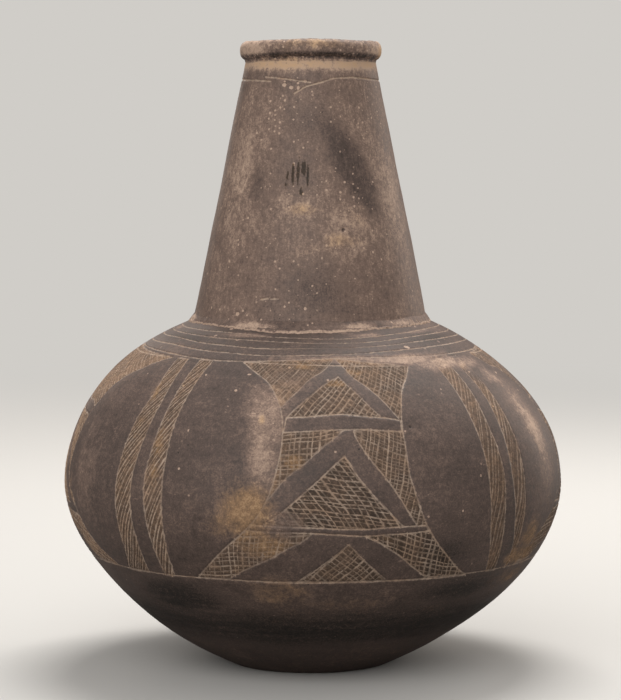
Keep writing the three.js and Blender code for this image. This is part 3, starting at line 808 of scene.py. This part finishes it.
rimLook = dict(neckLook, streaks=0.1, mottle=0.6, grain=0.8, tone=0.7, warmSpots=1.2, grainRarity=0.7, relief=0.16)
jointLook = dict(neckLook, grain=0.6, tone=0.6, streaks=0.1, paleLift=0.36, grainRarity=0.75, relief=0.1)
materials = {
    "body": makeClay("burnishedBodyClay", bodyLook), "neck": makeClay("burnishedNeckClay", neckLook),
    "rim": makeClay("wornRimClay", rimLook), "joint": makeClay("smearedJointClay", jointLook),
}
print("clay mixed")


# How the wall is carved and unevenly thrown; what the modifier on each ring of clay is given.
carving = {"Cut Depth": 0.26, "Swell": 0.25, "Swell Size": 34.0, "Facets": 0.05, "Facet Size": 5.0,
           "Roughness": 0.03, "Seed": 12.0}


def makeCarvingTree():
    tree = bpy.data.node_groups.new("carveWall", "GeometryNodeTree")
    face = tree.interface
    face.new_socket("Geometry", in_out="INPUT", socket_type="NodeSocketGeometry")
    face.new_socket("Geometry", in_out="OUTPUT", socket_type="NodeSocketGeometry")
    identifiers = {"Clay": face.new_socket("Clay", in_out="INPUT", socket_type="NodeSocketMaterial").identifier}
    for name in carving:
        identifiers[name] = face.new_socket(name, in_out="INPUT", socket_type="NodeSocketFloat").identifier

    def node(kind, settings=None, values=None):
        return addNode(tree, kind, settings, values)

    def read(label, kind="FLOAT"):
        return node("GeometryNodeInputNamedAttribute", {"data_type": kind}, {"Name": label}).out("Attribute")

    def scaled(vector, factor):
        return node("ShaderNodeVectorMath", {"operation": "SCALE"}, {0: vector, "Scale": factor}).first()

    given = node("NodeGroupInput")
    place = node("GeometryNodeInputPosition").first()

    def noise(size, detail):
        values = {"Vector": scaled(place, 1000 / size), "W": given.out("Seed"), "Scale": 1.0, "Detail": detail}
        return node("ShaderNodeTexNoise", {"noise_dimensions": "4D"}, values).first()

    swell = noise(given.out("Swell Size"), 1.0).rise(0.3, 0.75) * given.out("Swell")
    facets = noise(given.out("Facet Size"), 2.0).rise(0.25, 0.75) * given.out("Facets")
    coarse = noise(1.6, 2.0) * given.out("Roughness") * 2
    pits = read("pit").rise(0.4, 1.0) * 0.5 + read("chip").rise(0.4, 1.0) * 0.15
    cuts = drawCuts(node, read, noise(1.2, 1.0) - 0.5) * given.out("Cut Depth")
    offset = scaled(read("outward", "FLOAT_VECTOR"), (cuts + facets + swell + coarse + pits) * read("outer") * -mm)
    result = node("GeometryNodeSetPosition", None, {"Geometry": given.out("Geometry"), "Offset": offset}).first()
    result = node("GeometryNodeRealizeInstances", None, {"Geometry": result}).first()
    result = node("GeometryNodeSetMaterial", None, {"Geometry": result, "Material": given.out("Clay")}).first()
    node("NodeGroupOutput", None, {"Geometry": result})
    return tree, identifiers


carvingTree, carvingInputs = makeCarvingTree()
print("carving tool ready")


def ringMesh(section, columns, poles=False):
    # Rows of (r, z, outward r, outward z, outer share, inner share) round a closed outline, or from axis to axis.
    rows = np.array(section, float)
    angle = np.linspace(-math.pi, math.pi, columns, endpoint=False)
    r, z, outR, outZ, outer, inner = (rows[:, i, None] * np.ones(columns) for i in range(6))
    x, y = np.sin(angle), -np.cos(angle)
    place = np.stack((r * x, r * y, z), -1).reshape(-1, 3)
    outward = np.stack((outR * x, outR * y, outZ), -1).reshape(-1, 3)
    count = len(rows)
    i, j = np.meshgrid(np.arange(count - 1 if poles else count), np.arange(columns), indexing="ij")
    up, on = (i + 1) % count, (j + 1) % columns
    corners = (i * columns + j, i * columns + on, up * columns + on, up * columns + j)
    faces = np.stack(corners, -1).reshape(-1, 4).tolist()
    values = {"outer": outer.ravel(), "inner": inner.ravel()}
    if poles:
        bottom, top = len(place), len(place) + 1
        place = np.vstack((place, (0, 0, rows[0, 1]), (0, 0, rows[-1, 1])))
        outward = np.vstack((outward, (0, 0, -1), (0, 0, 1)))
        last = (count - 1) * columns
        faces += [(bottom, (k + 1) % columns, k) for k in range(columns)]
        faces += [(top, last + k, last + (k + 1) % columns) for k in range(columns)]
        values = {key: np.append(value, (value[0], value[-1])) for key, value in values.items()}
    degrees = np.degrees(np.arctan2(place[:, 0], -place[:, 1]))
    values.update(markWall(degrees, place[:, 2]))
    values.update((kind, paintStains(degrees, place[:, 2], kind)) for kind in stains)
    return {"place": place, "faces": faces, "outward": outward, "values": values, "angle": degrees}


def makePiece(node, ring, clay):
    place = ring["place"] + np.stack((leanAt(ring["place"][:, 2]), *np.zeros((2, len(ring["place"])))), 1)
    mesh = bpy.data.meshes.new(node + "_blank")
    mesh.from_pydata((place * mm).tolist(), [], ring["faces"])
    mesh.polygons.foreach_set("use_smooth", np.ones(len(mesh.polygons), bool))
    mesh.set_sharp_from_angle(angle=math.radians(38))
    for key, value in ring["values"].items():
        mesh.attributes.new(key, "FLOAT", "POINT").data.foreach_set("value", np.asarray(value, np.float32))
    outward = mesh.attributes.new("outward", "FLOAT_VECTOR", "POINT")
    outward.data.foreach_set("vector", ring["outward"].astype(np.float32).ravel())
    blank = addObject(node + "_blank", mesh)
    modifier = blank.modifiers.new("carve", "NODES")
    modifier.node_group = carvingTree
    for key, value in carving.items():
        modifier[carvingInputs[key]] = float(value)
    modifier[carvingInputs["Clay"]] = materials[clay]
    depsgraph = bpy.context.evaluated_depsgraph_get()
    carved = bpy.data.meshes.new_from_object(blank.evaluated_get(depsgraph), preserve_all_data_layers=True,
                                             depsgraph=depsgraph)
    carved.name = "dressed_" + node
    blank.modifiers.clear()
    bpy.data.objects.remove(blank)
    piece = addObject("dressed_" + node, carved)
    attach(piece, "root")
    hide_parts(node)
    print("made", node, "with", 2 * len(ring["faces"]), "triangles")


def outwardAt(wall, arc):
    return [np.interp(arc, wall["arc"], wall[key]) for key in ("outR", "outZ")]


def outside(wall, arcs):
    # Rows of a section along the outside of a wall.
    return [(*wallAt(wall, arc), *outwardAt(wall, arc), 1, 0) for arc in arcs]


def inside(wall, arcs, thickness):
    return [(*wallAt(wall, arc, thickness), 0, 0, 0, 1) for arc in arcs]


def coilSection(wall, thickness, bottom, top, rowGap):
    # bottom and top are pairs of arcs, outer and inner.
    rows = max(4, round((top[0] - bottom[0]) / rowGap))
    section = outside(wall, np.linspace(bottom[0], top[0], rows + 1))
    return section + inside(wall, np.linspace(top[1], bottom[1], 5), thickness)


# Columns round each part of the wall, and the gap between its rows in millimetres.
detail = {"engraved": (1500, 0.36), "plain": (720, 0.7), "neck": (640, 0.45), "underRim": (900, 0.24)}
slip = form["slip"] / 2
lap = form["jointLap"] / 2


def jointEnd(arc, side):
    # The outside meets its neighbour flush; the inside keeps half of the slip's gap.
    return arc - lap, arc + lap + side * slip


def makeBody():
    f = form
    edge = jointEnd(f["discEdge"], -1)
    centre = f["footRadius"] * 0.04
    section = [(r, 0, 0, -1, 1, 0) for r in np.linspace(centre, f["footRadius"] - 0.4, 30)]
    section += outside(bodyWall, np.linspace(0.3, edge[0], 18))
    section += inside(bodyWall, np.linspace(edge[1], 0, 8), f["bodyWall"])
    section += [(r, f["floorThickness"], 0, 0, 0, 1) for r in np.linspace(f["footRadius"] * 0.7, centre, 8)]
    makePiece("base_disc", ringMesh(section, detail["plain"][0], poles=True), "body")
    for i in range(bodyCoilCount):
        bottom = jointEnd(f["discEdge"] + i * bodyCoilHeight, 1)
        last = i == bodyCoilCount - 1
        top = (holeArc + 1.0, holeArc) if last else jointEnd(f["discEdge"] + (i + 1) * bodyCoilHeight, -1)
        engraved = np.interp(top[0], bodyWall["arc"], bodyWall["z"]) > rings["foot"] - 1
        columns, gap = detail["engraved" if engraved else "plain"]
        ring = ringMesh(coilSection(bodyWall, f["bodyWall"], bottom, top, gap), columns)
        makePiece("shoulder_coil" if last else f"body_coil_{i + 1}", ring, "body")


def tenonFootHeight():
    return wallAt(bodyWall, holeArc, form["bodyWall"])[1] - form["tenonDrop"]


def makeNeck():
    f = form
    innerFoot = wallAt(neckWall, 0, f["neckWall"])
    top = jointEnd(neckCoilHeight, -1)
    section = [(tenonRadius, tenonFootHeight(), 0, 0, 0, 1), (tenonRadius, f["shoulderHeight"] - 0.2, 0, 0, 0, 1)]
    section += outside(neckWall, np.linspace(0.0, top[0], 34))
    section += inside(neckWall, np.linspace(top[1], 0, 4), f["neckWall"])
    section += [(innerFoot[0], tenonFootHeight(), 0, 0, 0, 1)]
    makePiece("neck_foot", ringMesh(section, detail["neck"][0]), "neck")
    for i in range(1, neckCoilCount):
        last = i == neckCoilCount - 1
        bottom = jointEnd(i * neckCoilHeight, 1)
        top = (neckLength, neckLength) if last else jointEnd((i + 1) * neckCoilHeight, -1)
        columns, gap = detail["underRim" if last else "neck"]
        ring = ringMesh(coilSection(neckWall, f["neckWall"], bottom, top, gap), columns)
        makePiece(f"neck_coil_{i + 1}", ring, "neck")


joint = {
    "height": 2.2, "bulge": 0.14,  # how far the smeared clay reaches up the neck, and how full it is
    # its ragged lower edge: angles and heights on the shoulder
    "edge": ((-90, 114.1), (-51, 114.2), (-28, 113.7), (-12, 113.0), (9, 113.2), (32, 113.8), (60, 114.0),
             (120, 113.8), (180, 113.6)),
    "ragged": 0.28, "lumps": 0.12, "columns": 1200, "rows": 18,
    # waves round the bottle: how many, how high and their phase
    "edgeWaves": ((5, 0.5, 0.4), (11, 0.45, 1.7), (26, 0.5, 0.3), (57, 0.45, 2.2), (103, 0.35, 1.1), (171, 0.3, 0.6)),
    "topWaves": ((4, 1, 2), (13, 0.7, 1)),
    "lumpWaves": ((9, 0.5, 2.1), (31, 0.6, 0.2), (67, 0.5, 1.3), (139, 0.4, 0.9)),
}


def waver(angle, waves):
    return sum(size * np.sin(angle * times + phase) for times, size, phase in waves)


def makeJoint():
    # The neck's joint is smeared smooth, with a ragged pale edge where the clay ends on the shoulder.
    count, columns = joint["rows"], joint["columns"]
    placeholder = (form["neckFootRadius"], form["shoulderHeight"], 0, 0, 1, 0)
    ring = ringMesh([placeholder] * (count + 2), columns)
    angle = np.linspace(-math.pi, math.pi, columns, endpoint=False)
    ragged = waver(angle, joint["edgeWaves"])
    edgeArc = arcAtHeight(levelAt(np.degrees(angle), joint["edge"])) + joint["ragged"] * ragged
    low = wallAt(bodyWall, edgeArc, 0.03)
    high = wallAt(neckWall, joint["height"] + 0.25 * waver(angle, joint["topWaves"]), 0.03)
    outR, outZ = outwardAt(bodyWall, edgeArc)
    lumps = np.clip(waver(angle, joint["lumpWaves"]), 0, 1.5) * joint["lumps"]
    rows, pale = [], []
    for t in np.linspace(0, 1, count) ** 1.5:
        lip = (0.05 + lumps) * math.exp(-((t - 0.12) / 0.08) ** 2) * min(1, t / 0.1)
        full = joint["bulge"] * math.sin(math.pi * t**0.7) + lip
        r, z = (a + (b - a) * t for a, b in zip(low, high))
        rows.append((r + full * (0.75 * outR + 0.25), z + full * outZ))
        pale.append(1.9 * math.exp(-((t / 0.2) ** 2)) * (0.85 + 0.3 * ragged))
    for z in (form["shoulderHeight"] + 0.6, wallAt(bodyWall, neckArc)[1] - 0.3):
        rows.append((np.full(columns, form["neckFootRadius"] - 0.8), np.full(columns, z)))
    r, z = np.array([row[0] for row in rows]), np.array([row[1] for row in rows])
    ring["place"] = np.stack((r * np.sin(angle), -r * np.cos(angle), z), -1).reshape(-1, 3)
    out = np.stack([outR * np.sin(angle), -outR * np.cos(angle), outZ], -1)
    ring["outward"] = np.tile(out, (len(rows), 1))
    degrees, height = np.tile(np.degrees(angle), len(rows)), ring["place"][:, 2]
    ring["values"].update((kind, paintStains(degrees, height, kind)) for kind in stains)
    ring["values"]["pale"] = np.maximum(ring["values"]["pale"], np.vstack((pale, np.zeros((2, columns)))).ravel())
    ring["values"]["outer"] = np.array([1.0] * count + [0.0, 0.0]).repeat(columns)
    ring["values"]["mark"][:] = hand["far"]
    ring["values"]["ring"][:] = 0.5
    makePiece("neck_joint_outer_fillet", ring, "joint")


smear = {"gap": 0.05, "reach": 5, "lip": 0.5, "sag": 0.5, "rows": 8, "columns": 360}


def makeInnerSmear():
    depth = form["bodyWall"] + smear["gap"]
    near = tenonRadius + smear["gap"]
    arcs = bodyWall["arc"][fromFoot]
    inner = np.stack(wallAt(bodyWall, arcs, depth))
    ends = near + smear["reach"], near
    farPoint, nearPoint = (wallAt(bodyWall, float(np.interp(-r, -inner[0], arcs)), depth) for r in ends)
    foot, lip = tenonFootHeight(), smear["lip"]
    section = []
    for t in np.linspace(0, 1, smear["rows"]):
        sag = smear["sag"] * math.sin(math.pi * t)
        r, z = near + lip + (farPoint[0] - near - lip) * t + sag, foot + (farPoint[1] - lip - foot) * t + sag
        section.append((r, z, 0, 0, 0, 1))
    section += [(*point, 0, 0, 0, 1) for point in (farPoint, nearPoint, (near, foot))]
    makePiece("neck_joint_inner_fillet", ringMesh(section, smear["columns"]), "body")


rim = {
    "outer": 23.8, "inner": 15.7, "height": 6.6, "columns": 1000, "rows": 76,
    "square": 0.82,  # below 1, the roll is pressed flatter on its sides
    "bow": 0.35, "footBow": 1.1,  # front and back of its top and foot stand this much higher than the sides
    "lift": 0.25, "bite": 0.3,  # how far it stands over the neck's end, and how far its foot is pressed in
    "seatInner": 18, "overhang": 0.4, "lumps": 0.16, "pressed": 0.2,
    "waves": ((2, 0.5, 1.2), (5, 0.5, 1.0), (11, 0.4, 2.5), (23, 0.3, 0.3), (47, 0.2, 1.9)),
}


def makeRim():
    middle, halfWidth = (rim["outer"] + rim["inner"]) / 2, (rim["outer"] - rim["inner"]) / 2
    halfHeight = rim["height"] / 2
    seat, bite = form["neckTopHeight"], rim["bite"]
    section = []
    for a in np.linspace(0, math.tau, rim["rows"], endpoint=False):
        c, s = math.cos(a), math.sin(a)
        r = middle + halfWidth * math.copysign(abs(c) ** rim["square"], c)
        z = seat + rim["lift"] + halfHeight + halfHeight * math.copysign(abs(s) ** rim["square"], s)
        beside = r > form["neckTopRadius"] + rim["overhang"] or r < rim["seatInner"]
        z = max(z, seat + bite) if beside else seat - bite
        section.append((r, z, c, s, 1.0 if c > -0.8 else 0.0, max(0.0, -c * 1.6 - 0.6)))
    ring = ringMesh(section, rim["columns"])
    angle, place = np.radians(ring["angle"]), ring["place"]
    lumps = rim["lumps"] * waver(angle, rim["waves"])
    place += ring["outward"] * ((lumps - rim["pressed"]) * np.clip(ring["outward"][:, 2] + 1.2, 0, 1))[:, None]
    share = np.clip((place[:, 2] - seat - bite) / rim["height"], 0, 1)
    place[:, 2] += (rim["footBow"] + (rim["bow"] - rim["footBow"]) * share) * 0.5 * (np.cos(2 * angle) - 1)
    ring["values"]["mark"][:] = hand["far"]
    makePiece("rim_coil", ring, "rim")


makeBody()
makeNeck()
makeJoint()
makeInnerSmear()
makeRim()
print("bottle dressed")

studio = {
    "floor": (206, 204, 201),
    # far from the bottle, between these distances in metres, the floor turns into an even pale ground
    "distance": (208, 205, 200), "fadeFrom": 0.4, "fadeTo": 1.1,
    "dimming": 0.35,  # the share of the floor's colour that lights the bottle from below
    "sweepDepth": 2150, "sweepRadius": 500, "sweepHeight": 2450, "sweepWidth": 6600, "sweepFront": -3200,
    "sweepSteps": 24,
    "world": 0.52, "air": (1, 0.99, 0.97),
    "lampAim": (0, 0, 100),
    # name, place, size across and along, power in watts, tint
    "lamps": (
        ("topLamp", (90, 340, 1000), 0.5, 0.4, 8.0, (1, 0.98, 0.95)),
        ("rightStrip", (700, 640, 420), 0.22, 1.5, 4.2, (1, 0.92, 0.84)),
        ("leftStrip", (-400, 980, 500), 0.25, 0.7, 1.6, (1, 0.92, 0.84)),
        ("frontLamp", (-350, -1200, 700), 1.2, 1.2, 9.0, (1, 0.99, 0.97)),
    ),
}


def makeStudio():
    s = studio
    profile = [(s["sweepFront"], 0)]
    profile += [(s["sweepDepth"] - s["sweepRadius"] * (1 - math.sin(a)), s["sweepRadius"] * (1 - math.cos(a)))
                for a in np.linspace(0, math.pi / 2, s["sweepSteps"])]
    profile.append((s["sweepDepth"], s["sweepHeight"]))
    half = s["sweepWidth"] / 2
    points = [(x * mm, y * mm, z * mm) for y, z in profile for x in (-half, half)]
    faces = [(2 * i, 2 * i + 1, 2 * i + 3, 2 * i + 2) for i in range(len(profile) - 1)]
    mesh = bpy.data.meshes.new("studioSweep")
    mesh.from_pydata(points, [], faces)
    mesh.polygons.foreach_set("use_smooth", np.ones(len(faces), bool))
    sweep = addObject("studioSweep", mesh)
    material, tree = newMaterial("paleSweep")
    ray = addNode(tree, "ShaderNodeLightPath").out("Is Camera Ray")
    mixed = mixColors(tree, ray, paint(s["floor"], s["dimming"]), paint(s["floor"]))
    near = addNode(tree, "ShaderNodeBsdfDiffuse", None, {"Color": mixed}).first()
    far = addNode(tree, "ShaderNodeEmission", None, {"Color": paint(s["distance"])}).first()
    place = addNode(tree, "ShaderNodeTexCoord").out("Object")
    away = addNode(tree, "ShaderNodeVectorMath", {"operation": "LENGTH"}, {"Vector": place}).out("Value")
    fade = away.rise(s["fadeFrom"], s["fadeTo"]) * ray
    shader = addNode(tree, "ShaderNodeMixShader", None, {"Fac": fade, 1: near, 2: far}).first()
    addNode(tree, "ShaderNodeOutputMaterial", None, {"Surface": shader})
    mesh.materials.append(material)
    world = bpy.data.worlds.new("softRoom")
    bpy.context.scene.world = world
    world.use_nodes = True
    tree = world.node_tree
    air = tuple(s["world"] * v for v in s["air"])
    mixed = mixColors(tree, addNode(tree, "ShaderNodeLightPath").out("Is Camera Ray"), (*air, 1), paint(s["distance"]))
    tree.links.new(mixed.socket, tree.nodes["Background"].inputs["Color"])
    for name, place, width, length, power, tint in s["lamps"]:
        data = bpy.data.lights.new(name, "AREA")
        data.shape, data.size, data.size_y, data.energy, data.color = "RECTANGLE", width, length, power, tint
        aimed(addObject(name, data), place, s["lampAim"]).visible_camera = False
    bpy.context.scene.view_settings.view_transform = "Standard"


makeStudio()
print("studio lit")
